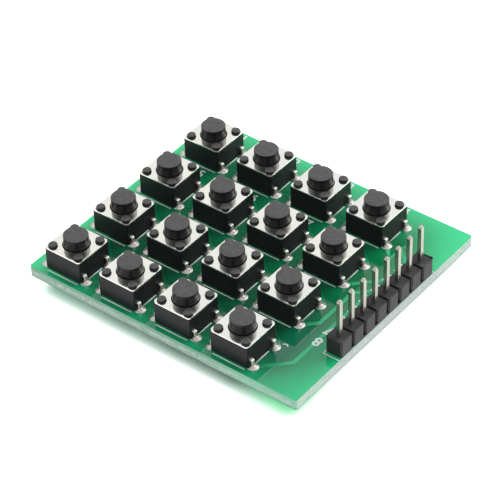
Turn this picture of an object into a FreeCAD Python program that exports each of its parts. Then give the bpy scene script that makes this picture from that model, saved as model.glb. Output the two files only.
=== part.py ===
import FreeCAD, Part
import os
import Sketcher

# Four by four push-button keypad on a circuit board, with an eight-way pin header.
# Millimetres. +X runs along the front edge to the header, +Y to the back, +Z up.
# The origin is under the board's centre, at the level of the key leads' tips.

SIZES = {
    # Circuit board
    "board_thickness": 1.6,
    "board_corner_radius": 0.4,
    "lead_hole_width": 0.95,
    # Places of the keys and of the header, from the board's edges inwards
    "left_edge_to_key": 5.0,
    "front_edge_to_key": 4.05,
    "back_edge_to_key": 6.13,
    "key_pitch_across": 9.12,
    "key_pitch_along": 9.65,
    "key_to_header": 10.02,
    "right_edge_to_header": 1.27,
    "front_edge_to_pin": 10.76,
    # Key base, moulded
    "base_side": 5.9,
    "base_corner_cut": 0.15,
    "base_height": 3.3,
    "foot_height": 0.1,
    "foot_inset": 0.45,
    "floor_height": 1.6,
    "stud_width": 1.22,
    "stud_spacing": 4.44,
    "stud_above_plate": 0.3,
    # Cover plate, stamped
    "plate_side": 6.0,
    "plate_thickness": 0.2,
    "plate_corner_cut": 0.3,
    "stud_clearance": 0.02,
    # Button, moulded
    "button_top_height": 5.05,
    "button_neck_diameter": 3.32,
    "button_skirt_diameter": 3.54,
    "button_skirt_height": 0.15,
    "button_flare_height": 0.7,
    "button_flange_width": 4.3,
    "button_flange_thickness": 0.8,
    "button_nub_width": 1.0,
    "button_clearance": 0.1,
    "button_play": 0.02,
    # Snap dome with four legs, stamped spring steel
    "dome_width": 3.2,
    "dome_crown_width": 1.3,
    "dome_leg_width": 0.9,
    "dome_foot_length": 0.25,
    "dome_rise": 0.3,
    "dome_thickness": 0.07,
    # Terminals, stamped strip set in the base when it is moulded
    "strip_thickness": 0.22,
    "strip_width": 0.55,
    "strip_under_floor": 0.4,
    "strip_bend_cut": 0.2,
    "lead_span": 6.5,
    "lead_spacing": 4.5,
    "lead_below_board": 1.8,
    "contact_width": 0.5,
    "rim_contact_from_centre": 1.45,
    # Pin header
    "pin_pitch": 2.54,
    "housing_width": 2.52,
    "housing_height": 2.5,
    "housing_corner_cut": 0.25,
    "housing_groove_width": 0.3,
    "housing_groove_depth": 0.3,
    "pin_side": 0.6,
    "pin_above_board": 8.2,
    "pin_below_board": 1.4,
    "pin_point_length": 0.35,
    "pin_point_inset": 0.16,
}
ROWS, COLUMNS, PINS = 4, 4, 8
# The corner that turns a square into a regular octagon, as a share of its width
OCTAGON_CUT = "0.2929"

doc = FreeCAD.newDocument("matrix_keypad")
sheet = doc.addObject("Spreadsheet::Sheet", "Sizes")
for line, (name, value) in enumerate(SIZES.items(), start=1):
    sheet.set(f"A{line}", name)
    sheet.set(f"B{line}", str(value))
    sheet.setAlias(f"B{line}", name)
doc.recompute()

# Spans of the board, and levels that several pieces share, up from the board's top face
BOARD_WIDTH = (
    f"(Sizes.left_edge_to_key + {COLUMNS - 1} * Sizes.key_pitch_across"
    " + Sizes.key_to_header + Sizes.right_edge_to_header)"
)
BOARD_LENGTH = (
    f"(Sizes.front_edge_to_key + {ROWS - 1} * Sizes.key_pitch_along + Sizes.back_edge_to_key)"
)
BOARD_TOP = "(Sizes.lead_below_board + Sizes.board_thickness)"
STRIP_TOP = "(Sizes.floor_height - Sizes.strip_under_floor)"
STRIP_BOTTOM = f"({STRIP_TOP} - Sizes.strip_thickness)"
PLATE_TOP = "(Sizes.base_height + Sizes.plate_thickness)"
DOME_TOP = "(Sizes.floor_height + Sizes.dome_rise + Sizes.dome_thickness)"


def value_of(formula):
    """The number that a formula of the sheet's sizes gives."""
    return float(sheet.evalExpression(formula))


def new_body(label, across, along, up):
    """A body of its own for one sub-part, placed by formulas."""
    body = doc.addObject("PartDesign::Body", label)
    body.Label = label
    body.AllowCompound = True
    for axis, formula in zip("xyz", (across, along, up)):
        body.setExpression(f"Placement.Base.{axis}", formula)
    return body


def origin_part(body, role):
    return next(o for o in body.Origin.OriginFeatures if o.Role == role)


def new_sketch(body, plane, offset="0"):
    """An empty sketch on one of the body's own planes, moved along its normal."""
    sketch = body.newObject("Sketcher::SketchObject", "Sketch")
    sketch.AttachmentSupport = [(origin_part(body, plane), "")]
    sketch.MapMode = "FlatFace"
    sketch.setExpression("AttachmentOffset.Base.z", offset)
    return sketch


def tie_point(sketch, edge, end, point):
    """Ties one end of an edge to a place given by two formulas."""
    for axis, other_axis, formula in zip("XY", (-2, -1), point):
        if formula == "0":
            sketch.addConstraint(Sketcher.Constraint("PointOnObject", edge, end, other_axis))
            continue
        distance = Sketcher.Constraint(f"Distance{axis}", -1, 1, edge, end, value_of(formula))
        number = sketch.addConstraint(distance)
        sketch.setExpression(f"Constraints[{number}]", formula)


def add_outline(sketch, points):
    """A closed outline of straight edges through points given by formulas."""
    places = [FreeCAD.Vector(value_of(x), value_of(y), 0) for x, y in points]
    pairs = zip(places, places[1:] + places[:1])
    edges = [sketch.addGeometry(Part.LineSegment(a, b)) for a, b in pairs]
    for edge, after in zip(edges, edges[1:] + edges[:1]):
        sketch.addConstraint(Sketcher.Constraint("Coincident", edge, 2, after, 1))
    for edge, point in zip(edges, points):
        tie_point(sketch, edge, 1, point)


def add_rectangle(sketch, centre, width, depth, cut=None):
    """A rectangle about a centre, with its corners cut off at 45 degrees if a cut is given."""
    x, y = centre
    signs = ("", ""), ("-", ""), ("-", "-"), ("", "-")
    corners = []
    for turn, (sx, sy) in enumerate(signs):
        if cut is None:
            corners.append((f"{x} + {sx}({width}) / 2", f"{y} + {sy}({depth}) / 2"))
            continue
        far = (f"{sx}({width}) / 2", f"{sy}({depth}) / 2")
        near = (f"{sx}(({width}) / 2 - {cut})", f"{sy}(({depth}) / 2 - {cut})")
        pair = [(far[0], near[1]), (near[0], far[1])]
        corners += [(f"{x} + {a}", f"{y} + {b}") for a, b in (pair if turn % 2 == 0 else pair[::-1])]
    add_outline(sketch, corners)


def add_octagon(sketch, centre, width):
    add_rectangle(sketch, centre, width, width, f"({width}) * {OCTAGON_CUT}")


def add_circle(sketch, centre, diameter):
    place = FreeCAD.Vector(value_of(centre[0]), value_of(centre[1]), 0)
    circle = Part.Circle(place, FreeCAD.Vector(0, 0, 1), value_of(f"({diameter}) / 2"))
    edge = sketch.addGeometry(circle)
    tie_point(sketch, edge, 3, centre)
    number = sketch.addConstraint(Sketcher.Constraint("Diameter", edge, value_of(diameter)))
    sketch.setExpression(f"Constraints[{number}]", diameter)


def add_feature(body, kind, sketch, length, midplane=False):
    """A pad grows along the sketch's normal and a pocket cuts against it."""
    feature = body.newObject(f"PartDesign::{kind}", kind)
    feature.Profile = sketch
    feature.setExpression("Length", length)
    feature.Midplane = midplane
    feature.Refine = False
    body.Tip = feature
    return feature


def add_pattern(body, features, *ways):
    """Repeats features along one or two axes, each way given as axis, pitch and count."""
    pattern = body.newObject("PartDesign::LinearPattern", "LinearPattern")
    pattern.Originals = features
    for suffix, (role, pitch, count) in zip(("", "2"), ways):
        setattr(pattern, f"Direction{suffix}", (origin_part(body, role), [""]))
        pattern.setExpression(f"Length{suffix}", f"{pitch} * {count - 1}")
        setattr(pattern, f"Occurrences{suffix}", count)
    pattern.Refine = False
    body.Tip = pattern


def key_place(row, column):
    """Centre of a key on the board; row 0 is the back row, column 0 the left one."""
    across = f"Sizes.left_edge_to_key - {BOARD_WIDTH} / 2 + {column} * Sizes.key_pitch_across"
    steps = ROWS - 1 - row
    along = f"Sizes.front_edge_to_key - {BOARD_LENGTH} / 2 + {steps} * Sizes.key_pitch_along"
    return across, along


def header_place():
    """The header's front pin on the board."""
    across = f"{BOARD_WIDTH} / 2 - Sizes.right_edge_to_header"
    return across, f"Sizes.front_edge_to_pin - {BOARD_LENGTH} / 2"


def add_square_pattern(body, feature, across, along):
    """Repeats the front left feature of a key at its other three corners."""
    add_pattern(body, [feature], ("X_Axis", across, 2), ("Y_Axis", along, 2))


def first_stud():
    return "-Sizes.stud_spacing / 2", "-Sizes.stud_spacing / 2"


def make_board():
    """Glass-fibre board with a hole for every lead and pin."""
    body = new_body("circuit_board", "0", "0", "Sizes.lead_below_board")
    sketch = new_sketch(body, "XY_Plane")
    add_rectangle(sketch, ("0", "0"), BOARD_WIDTH, BOARD_LENGTH)
    slab = add_feature(body, "Pad", sketch, "Sizes.board_thickness")
    doc.recompute()
    upright = [
        f"Edge{n}"
        for n, edge in enumerate(slab.Shape.Edges, start=1)
        if abs(edge.tangentAt(edge.FirstParameter).z) > 0.99
    ]
    rounding = body.newObject("PartDesign::Fillet", "Fillet")
    rounding.Base = (slab, upright)
    rounding.setExpression("Radius", "Sizes.board_corner_radius")
    body.Tip = rounding
    across, along = key_place(ROWS - 1, 0)
    sketch = new_sketch(body, "XY_Plane", "Sizes.board_thickness")
    for sx in "+-":
        for sy in "+-":
            x, y = f"{across} {sx} Sizes.lead_span / 2", f"{along} {sy} Sizes.lead_spacing / 2"
            add_octagon(sketch, (x, y), "Sizes.lead_hole_width")
    holes = add_feature(body, "Pocket", sketch, "Sizes.board_thickness")
    add_pattern(
        body,
        [holes],
        ("X_Axis", "Sizes.key_pitch_across", COLUMNS),
        ("Y_Axis", "Sizes.key_pitch_along", ROWS),
    )
    sketch = new_sketch(body, "XY_Plane", "Sizes.board_thickness")
    add_octagon(sketch, header_place(), "Sizes.lead_hole_width")
    hole = add_feature(body, "Pocket", sketch, "Sizes.board_thickness")
    add_pattern(body, [hole], ("Y_Axis", "Sizes.pin_pitch", PINS))
    return body


def make_header_housing():
    """Moulded strip of blocks with cut corners, a groove between each two, and square holes."""
    body = new_body("header_housing", *header_place(), BOARD_TOP)
    sketch = new_sketch(body, "XY_Plane")
    block_size = "Sizes.housing_width", "Sizes.pin_pitch", "Sizes.housing_corner_cut"
    add_rectangle(sketch, ("0", "0"), *block_size)
    block = add_feature(body, "Pad", sketch, "Sizes.housing_height")
    add_pattern(body, [block], ("Y_Axis", "Sizes.pin_pitch", PINS))
    sketch = new_sketch(body, "XY_Plane", "Sizes.housing_height")
    groove_size = "Sizes.housing_width", "Sizes.housing_groove_width"
    add_rectangle(sketch, ("0", "Sizes.pin_pitch / 2"), *groove_size)
    groove = add_feature(body, "Pocket", sketch, "Sizes.housing_groove_depth")
    add_pattern(body, [groove], ("Y_Axis", "Sizes.pin_pitch", PINS - 1))
    sketch = new_sketch(body, "XY_Plane", "Sizes.housing_height")
    add_rectangle(sketch, ("0", "0"), "Sizes.pin_side", "Sizes.pin_side")
    hole = add_feature(body, "Pocket", sketch, "Sizes.housing_height")
    add_pattern(body, [hole], ("Y_Axis", "Sizes.pin_pitch", PINS))
    return body


def make_header_pins():
    """Square pins with pointed ends, pressed through the housing."""
    body = new_body("header_pins", *header_place(), BOARD_TOP)
    low = "-(Sizes.board_thickness + Sizes.pin_below_board)"
    high = "Sizes.pin_above_board"
    wide, narrow = "Sizes.pin_side / 2", "(Sizes.pin_side / 2 - Sizes.pin_point_inset)"
    profile = [
        (f"-{narrow}", low),
        (narrow, low),
        (wide, f"{low} + Sizes.pin_point_length"),
        (wide, f"{high} - Sizes.pin_point_length"),
        (narrow, high),
        (f"-{narrow}", high),
        (f"-{wide}", f"{high} - Sizes.pin_point_length"),
        (f"-{wide}", f"{low} + Sizes.pin_point_length"),
    ]
    sketch = new_sketch(body, "XZ_Plane")
    add_outline(sketch, profile)
    blank = add_feature(body, "Pad", sketch, "Sizes.pin_side", midplane=True)
    add_pattern(body, [blank], ("Y_Axis", "Sizes.pin_pitch", PINS))
    return body


def add_tongues(body, kind):
    """The tongue from each strip to its contact, and the contacts that rise to the floor.

    The same sketches add the metal to the terminals and cut its seat in the base.
    """
    half = "Sizes.contact_width / 2"
    strip_edge = "(Sizes.lead_spacing / 2 - Sizes.strip_width / 2)"
    rim = "-Sizes.rim_contact_from_centre"
    tongues = [(f"-{strip_edge}", f"({rim} + {half})"), (strip_edge, f"-{half}")]
    contacts = [(f"({rim} - {half})", f"({rim} + {half})"), (half, f"-{half}")]
    levels = [(STRIP_BOTTOM, STRIP_TOP), (STRIP_TOP, "Sizes.floor_height")]
    features = []
    for spans, (low, high) in zip((tongues, contacts), levels):
        sketch = new_sketch(body, "XY_Plane", low if kind == "Pad" else high)
        for start, end in spans:
            add_outline(sketch, [(f"-{half}", start), (half, start), (half, end), (f"-{half}", end)])
        features.append(add_feature(body, kind, sketch, f"{high} - {low}"))
    return features


def make_terminals(label, row):
    """One row's terminals: bent strips that leave each base on both sides as solder leads."""
    body = new_body(label, *key_place(row, 0), BOARD_TOP)
    outer = "(Sizes.lead_span / 2 + Sizes.strip_thickness / 2)"
    inner = "(Sizes.lead_span / 2 - Sizes.strip_thickness / 2)"
    tip = f"-{BOARD_TOP}"
    bend = "Sizes.strip_bend_cut"
    profile = [
        (f"-{outer}", tip),
        (f"-{inner}", tip),
        (f"-{inner}", STRIP_BOTTOM),
        (inner, STRIP_BOTTOM),
        (inner, tip),
        (outer, tip),
        (outer, f"{STRIP_TOP} - {bend}"),
        (f"{outer} - {bend}", STRIP_TOP),
        (f"{bend} - {outer}", STRIP_TOP),
        (f"-{outer}", f"{STRIP_TOP} - {bend}"),
    ]
    features = []
    for side in ("", "-"):
        sketch = new_sketch(body, "XZ_Plane", f"{side}Sizes.lead_spacing / 2")
        add_outline(sketch, profile)
        features.append(add_feature(body, "Pad", sketch, "Sizes.strip_width", midplane=True))
    features += add_tongues(body, "Pad")
    add_pattern(body, features, ("X_Axis", "Sizes.key_pitch_across", COLUMNS))
    return body


def make_domes(label, row):
    """One row's snap domes: a flat crown on four sloping legs with flat feet."""
    body = new_body(label, *key_place(row, 0), f"{BOARD_TOP} + Sizes.floor_height")
    crown, thickness, rise = "Sizes.dome_crown_width / 2", "Sizes.dome_thickness", "Sizes.dome_rise"
    edge = "Sizes.dome_width / 2"
    foot = f"({edge} - Sizes.dome_foot_length)"
    right = [
        (edge, "0"),
        (edge, thickness),
        (foot, thickness),
        (crown, f"{rise} + {thickness}"),
    ]
    under = [(f"-{crown}", rise), (crown, rise), (foot, "0")]
    left = [(f"-{x}", z) for x, z in reversed(right)]
    profile = right + left + [(f"-{foot}", "0")] + under
    features = []
    for plane in ("XZ_Plane", "YZ_Plane"):
        sketch = new_sketch(body, plane)
        add_outline(sketch, profile)
        features.append(add_feature(body, "Pad", sketch, "Sizes.dome_leg_width", midplane=True))
    add_pattern(body, features, ("X_Axis", "Sizes.key_pitch_across", COLUMNS))
    return body


def make_base(label, place):
    """Moulded key base: a hollow box with staking studs, set round its terminals."""
    body = new_body(label, *place, BOARD_TOP)
    sketch = new_sketch(body, "XY_Plane", "Sizes.foot_height")
    add_rectangle(sketch, ("0", "0"), "Sizes.base_side", "Sizes.base_side", "Sizes.base_corner_cut")
    add_feature(body, "Pad", sketch, "Sizes.base_height - Sizes.foot_height")
    sketch = new_sketch(body, "XY_Plane")
    foot_side = "(Sizes.base_side - 2 * Sizes.foot_inset)"
    add_rectangle(sketch, ("0", "0"), foot_side, foot_side)
    add_feature(body, "Pad", sketch, "Sizes.foot_height")
    sketch = new_sketch(body, "XY_Plane", "Sizes.base_height")
    add_octagon(sketch, first_stud(), "Sizes.stud_width")
    stud = add_feature(body, "Pad", sketch, "Sizes.plate_thickness + Sizes.stud_above_plate")
    add_square_pattern(body, stud, "Sizes.stud_spacing", "Sizes.stud_spacing")
    # The cavity for the dome and the button's flange
    sketch = new_sketch(body, "XY_Plane", "Sizes.base_height")
    add_octagon(sketch, ("0", "0"), "(Sizes.button_flange_width + 2 * Sizes.button_clearance)")
    add_feature(body, "Pocket", sketch, "Sizes.base_height - Sizes.floor_height")
    # The seats of the terminals
    sketch = new_sketch(body, "YZ_Plane")
    middle = f"({STRIP_TOP} + {STRIP_BOTTOM}) / 2"
    for side in ("", "-"):
        centre = f"{side}Sizes.lead_spacing / 2", middle
        add_rectangle(sketch, centre, "Sizes.strip_width", "Sizes.strip_thickness")
    add_feature(body, "Pocket", sketch, "Sizes.base_side", midplane=True)
    add_tongues(body, "Pocket")
    return body


def make_plate(label, place):
    """Stamped cover plate, held by the base's studs and open in the middle for the button."""
    body = new_body(label, *place, f"{BOARD_TOP} + Sizes.base_height")
    sketch = new_sketch(body, "XY_Plane")
    side = "Sizes.plate_side"
    add_rectangle(sketch, ("0", "0"), side, side, "Sizes.plate_corner_cut")
    add_circle(sketch, ("0", "0"), "Sizes.button_skirt_diameter + 2 * Sizes.button_clearance")
    add_feature(body, "Pad", sketch, "Sizes.plate_thickness")
    sketch = new_sketch(body, "XY_Plane", "Sizes.plate_thickness")
    add_octagon(sketch, first_stud(), "(Sizes.stud_width + 2 * Sizes.stud_clearance)")
    hole = add_feature(body, "Pocket", sketch, "Sizes.plate_thickness")
    add_square_pattern(body, hole, "Sizes.stud_spacing", "Sizes.stud_spacing")
    return body


def make_button(label, place):
    """Moulded button: a turned neck, flare and skirt over a flange that the plate holds down."""
    body = new_body(label, *place, BOARD_TOP)
    skirt, neck = "Sizes.button_skirt_diameter / 2", "Sizes.button_neck_diameter / 2"
    flange_top = "(Sizes.base_height - Sizes.button_play)"
    flange_bottom = f"({flange_top} - Sizes.button_flange_thickness)"
    skirt_top = f"({PLATE_TOP} + Sizes.button_skirt_height)"
    profile = [
        ("0", flange_top),
        (skirt, flange_top),
        (skirt, skirt_top),
        (neck, f"{skirt_top} + Sizes.button_flare_height"),
        (neck, "Sizes.button_top_height"),
        ("0", "Sizes.button_top_height"),
    ]
    sketch = new_sketch(body, "XZ_Plane")
    add_outline(sketch, profile)
    turned = body.newObject("PartDesign::Revolution", "Revolution")
    turned.Profile = sketch
    turned.ReferenceAxis = (sketch, ["V_Axis"])
    body.Tip = turned
    sketch = new_sketch(body, "XY_Plane", flange_bottom)
    add_octagon(sketch, ("0", "0"), "Sizes.button_flange_width")
    add_feature(body, "Pad", sketch, "Sizes.button_flange_thickness")
    nub_bottom = f"({DOME_TOP} + Sizes.button_play)"
    sketch = new_sketch(body, "XY_Plane", nub_bottom)
    add_octagon(sketch, ("0", "0"), "Sizes.button_nub_width")
    add_feature(body, "Pad", sketch, f"{flange_bottom} - {nub_bottom}")
    return body


bodies = [make_board(), make_header_housing(), make_header_pins()]
for row in range(ROWS):
    bodies.append(make_terminals(f"terminals_row_{row + 1}", row))
    bodies.append(make_domes(f"snap_domes_row_{row + 1}", row))
    for column in range(COLUMNS):
        number = row * COLUMNS + column + 1
        place = key_place(row, column)
        bodies.append(make_base(f"key_base_{number}", place))
        bodies.append(make_plate(f"cover_plate_{number}", place))
        bodies.append(make_button(f"button_{number}", place))
for body in bodies:
    body.Tip.Refine = True
doc.recompute()

for thing in doc.Objects:
    if "Invalid" in thing.State or "Error" in thing.State:
        raise RuntimeError(f"{thing.Label} did not recompute")
for body in bodies:
    if body.Shape.isNull() or not body.Shape.isValid():
        raise RuntimeError(f"{body.Label} has no valid shape")
os.makedirs("parts", exist_ok=True)
for body in bodies:
    body.Shape.exportStep(f"parts/{body.Label}.step")
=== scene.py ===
import math
import random

import bmesh
import bpy
from mathutils import Matrix, Vector


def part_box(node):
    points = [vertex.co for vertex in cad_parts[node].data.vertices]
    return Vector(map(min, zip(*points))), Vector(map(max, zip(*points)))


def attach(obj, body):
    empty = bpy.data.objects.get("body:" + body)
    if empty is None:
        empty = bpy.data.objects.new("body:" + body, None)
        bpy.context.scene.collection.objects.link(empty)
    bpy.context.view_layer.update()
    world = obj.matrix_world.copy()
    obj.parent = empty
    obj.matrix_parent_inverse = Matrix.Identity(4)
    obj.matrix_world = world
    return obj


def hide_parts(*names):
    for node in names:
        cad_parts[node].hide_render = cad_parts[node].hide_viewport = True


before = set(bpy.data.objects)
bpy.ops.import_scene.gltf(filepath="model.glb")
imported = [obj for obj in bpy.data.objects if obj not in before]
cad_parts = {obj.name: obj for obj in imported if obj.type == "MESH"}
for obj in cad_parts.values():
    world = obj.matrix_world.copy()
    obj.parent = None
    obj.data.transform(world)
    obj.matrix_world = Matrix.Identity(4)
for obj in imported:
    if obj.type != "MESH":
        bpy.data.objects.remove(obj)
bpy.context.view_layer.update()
MM = 0.001


# Circuit board: a slab of glass cloth and resin, sawn and routed to size, with green solder mask
# on both faces. The mask stops at the edges, where the pale cut layers of the cloth show.
# The solid's shape is right, so it stays and gets its finish here.
def new_finish(name, roughness, metallic=0.0, specular=0.5):
    """A material whose shader has plain values; patterns are joined to it afterwards."""
    finish = bpy.data.materials.new(name)
    finish.use_nodes = True
    shader = finish.node_tree.nodes["Principled BSDF"]
    shader.inputs["Roughness"].default_value = roughness
    shader.inputs["Metallic"].default_value = metallic
    shader.inputs["Specular IOR Level"].default_value = specular
    return finish


def join_nodes(finish, source, target):
    finish.node_tree.links.new(source, target)


def join_shader(finish, socket, source):
    """Joins a pattern to a socket of the finish's shader."""
    join_nodes(finish, source, finish.node_tree.nodes["Principled BSDF"].inputs[socket])


def add_node(finish, kind, values=None, **settings):
    """A shader node with its settings, and values that are numbers or other nodes' outputs."""
    node = finish.node_tree.nodes.new(f"ShaderNode{kind}")
    for setting, value in settings.items():
        setattr(node, setting, value)
    for socket, value in (values or {}).items():
        if isinstance(value, bpy.types.NodeSocket):
            join_nodes(finish, value, node.inputs[socket])
        else:
            node.inputs[socket].default_value = value
    return node


def place_on(finish, stretch=(1, 1, 1)):
    """Object coordinates in metres, stretched along the axes."""
    coordinates = add_node(finish, "TexCoord").outputs["Object"]
    return add_node(finish, "Mapping", {"Vector": coordinates, "Scale": stretch}).outputs[0]


def axes_on(finish):
    """A point's place along each of the three axes, in metres."""
    return add_node(finish, "SeparateXYZ", {0: place_on(finish)}).outputs


def remap(finish, value, low, high, to_low=0, to_high=1):
    """Carries a value's range over to another range, and stops at its ends."""
    values = {0: value, 1: low, 2: high, 3: to_low, 4: to_high}
    return add_node(finish, "MapRange", values).outputs[0]


def noise_on(finish, size, detail=3, stretch=(1, 1, 1), roughness=0.55):
    """Cloudy noise from 0 to 1 whose blots are about size millimetres across."""
    values = {
        "Vector": place_on(finish, stretch),
        "Scale": 1 / (size * MM),
        "Detail": detail,
        "Roughness": roughness,
    }
    return add_node(finish, "TexNoise", values).outputs["Fac"]


NOISE_MIDDLE = 0.3, 0.7


def clouds_on(finish, size, detail=3, to_low=0, to_high=1, stretch=(1, 1, 1)):
    """Noise whose middle part is spread out over a range of its own."""
    return remap(finish, noise_on(finish, size, detail, stretch), *NOISE_MIDDLE, to_low, to_high)


def count(finish, operation, *numbers):
    values = dict(enumerate(numbers))
    return add_node(finish, "Math", values, operation=operation).outputs[0]


def blend_values(finish, share, first, second):
    return add_node(finish, "Mix", {0: share, 2: first, 3: second}).outputs[0]


def blend_colours(finish, share, first, second):
    """A colour between two colours or outputs, by a share from 0 to 1."""
    ends = [end if isinstance(end, bpy.types.NodeSocket) else (*end, 1) for end in (first, second)]
    return add_node(finish, "Mix", {0: share, 6: ends[0], 7: ends[1]}, data_type="RGBA").outputs[2]


def two_tones(finish, size, detail, tones, stretch=(1, 1, 1)):
    """Two colours that pass into each other in clouds of about size millimetres."""
    return blend_colours(finish, clouds_on(finish, size, detail, stretch=stretch), *tones)


def scale_colour(finish, colour, factor):
    """A colour made brighter or darker by a factor."""
    values = {0: colour, "Scale": factor}
    return add_node(finish, "VectorMath", values, operation="SCALE").outputs[0]


def add_relief(finish, height, depth):
    """Bump of about depth millimetres from a height from 0 to 1."""
    bump = add_node(finish, "Bump", {"Height": height, "Distance": depth * MM})
    join_shader(finish, "Normal", bump.outputs[0])


board_low, board_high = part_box("circuit_board")
TOP, UNDERSIDE = board_high.z, board_low.z
half_width, half_length = board_high.x, board_high.y
MASK_DEPTH = 0.02 * MM
# The mask's colour carries painted light and shade: a deep green of painted shade among the keys, darker
# towards the front, a lighter green beside and before them, and painted light near the board's rim,
# strongest towards the back and the left.
SHADED_GREENS = (0.003, 0.115, 0.05), (0.003, 0.205, 0.08)
OPEN_GREENS = (0.002, 0.172, 0.085), (0.002, 0.225, 0.072)
LIT_GREEN = 0.03, 0.86, 0.34
SIDE_REACH, BACK_REACH, FRONT_REACH = 6 * MM, 7 * MM, 5 * MM
RIM_SHADE, FRONT_RIM_SHADE = 0.2, 0.6
WEAK_LIGHT, LEFT_LIGHT = 0.77, 1.3
LIGHT_FROM_BACK, LIGHT_FROM_LEFT = (-19 * MM, 12 * MM), (-12 * MM, -21 * MM)
BESIDE_KEYS, BEFORE_KEYS = (12.5 * MM, 14.5 * MM), (-17.9 * MM, -18.7 * MM)
TOWARDS_BACK = -10 * MM, 6 * MM
GREEN_CLOUD, GREEN_CLOUD_SIZE = 0.03, 4


def mask_tone(finish):
    """The mask's green, with painted light near the board's rim and painted shade among the keys."""
    axes = axes_on(finish)
    from_sides = count(finish, "SUBTRACT", half_width, count(finish, "ABSOLUTE", axes[0]))
    from_back = count(finish, "SUBTRACT", half_length, axes[1])
    from_front = count(finish, "ADD", half_length, axes[1])
    rims = (
        (from_sides, SIDE_REACH, RIM_SHADE),
        (from_back, BACK_REACH, RIM_SHADE),
        (from_front, FRONT_REACH, FRONT_RIM_SHADE),
    )
    rim_shade = 1
    for distance, reach, edge_shade in rims:
        shade = remap(finish, distance, 0, reach, edge_shade, 1)
        rim_shade = count(finish, "MULTIPLY", rim_shade, shade)
    bright_back = remap(finish, axes[1], *LIGHT_FROM_BACK, WEAK_LIGHT, 1)
    bright_left = remap(finish, axes[0], *LIGHT_FROM_LEFT, WEAK_LIGHT, LEFT_LIGHT)
    bright_share = count(finish, "MAXIMUM", bright_back, bright_left)
    lit = count(finish, "MULTIPLY", count(finish, "SUBTRACT", 1, rim_shade), bright_share)
    cloud = clouds_on(finish, GREEN_CLOUD_SIZE, to_low=-GREEN_CLOUD, to_high=GREEN_CLOUD)
    to_back = remap(finish, axes[1], *TOWARDS_BACK)
    shaded_green = blend_colours(finish, to_back, *SHADED_GREENS)
    open_green = blend_colours(finish, to_back, *OPEN_GREENS)
    beside_keys = remap(finish, axes[0], *BESIDE_KEYS)
    before_keys = remap(finish, axes[1], *BEFORE_KEYS)
    in_open = count(finish, "MAXIMUM", beside_keys, before_keys)
    unlit = blend_colours(finish, in_open, shaded_green, open_green)
    return blend_colours(finish, count(finish, "ADD", lit, cloud), unlit, LIT_GREEN)


WEAVE_SCALE, WEAVE_SHADES = 520, (0.99, 1.01)
DUST, DUST_COVER = (0.5, 0.6, 0.55), 0.6
DUST_SPACING, DUSTLESS_SHARE = 2.2 * MM, 0.7


def dusty_mask(finish):
    """The mask's green with its painted light and shade, the cloth's weave showing faintly and a few
    specks of dust.
    """
    weave = {"Vector": place_on(finish), "Scale": WEAVE_SCALE, "Distortion": 1.5, "Detail": 2}
    threads = [
        add_node(finish, "TexWave", weave, bands_direction=direction).outputs["Fac"]
        for direction in "XY"
    ]
    weave_shade = remap(finish, count(finish, "ADD", *threads), 0, 2, *WEAVE_SHADES)
    green = scale_colour(finish, mask_tone(finish), weave_shade)
    grid = {"Vector": place_on(finish), "Scale": 1 / DUST_SPACING}
    cells = add_node(finish, "TexVoronoi", grid).outputs
    cell_draw = add_node(finish, "SeparateXYZ", {0: cells["Color"]}).outputs[0]
    chosen = count(finish, "GREATER_THAN", cell_draw, DUSTLESS_SHARE)
    speck = remap(finish, cells["Distance"], 0.02, 0.035, DUST_COVER, 0)
    return blend_colours(finish, count(finish, "MULTIPLY", speck, chosen), green, DUST)


LAMINATE_PALE, LAMINATE_DARK = (0.80, 1.0, 0.89), (0.44, 0.78, 0.59)
# Painted light: the dark layers are paler on the right face.
LAMINATE_DARK_LIT_RIGHT = 0.68, 0.96, 0.80
# The dark stain colour makes the edge's dark specks and also painted shade on the front face.
GREY_BY_HEADER, STAIN_AND_SHADE = (0.80, 0.84, 0.83), (0.05, 0.09, 0.07)
GREEN_UNDER_MASK, CORNER_LIGHT_GREEN = (0.24, 0.68, 0.46), (0.41, 0.94, 0.65)
BROKEN_GLASS, LOW_GREEN = (0.95, 1, 0.97), (0.16, 0.26, 0.2)
RIGHT_FACE = half_width - 0.25 * MM, half_width - 0.15 * MM
FRONT_FACE = 0.25 * MM - half_length, 0.15 * MM - half_length
BESIDE_HEADER, NEAR_CORNER = (10.5 * MM, 14.5 * MM), (6 * MM, 15 * MM)
UNDER_MASK = TOP - 0.75 * MM, TOP - 0.05 * MM
ABOVE_BOTTOM = UNDERSIDE + 0.18 * MM, UNDERSIDE + 0.08 * MM
GLASS_LEVEL, GLASS_FADE = TOP - 0.85 * MM, (0.06 * MM, 0.28 * MM)
LAYER_CUT, SPECK_CUT, BREAK_CUT = (0.38, 0.62), (0.63, 0.69), (0.45, 0.6)
GREY_COVER, SPECK_COVER, UNDER_MASK_COVER, FRONT_SHADE_COVER = 0.85, 0.8, 0.9, 0.14
CORNER_LIGHT_COVER, GLASS_COVER, LOW_COVER = 0.65, 0.75, 0.75


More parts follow.
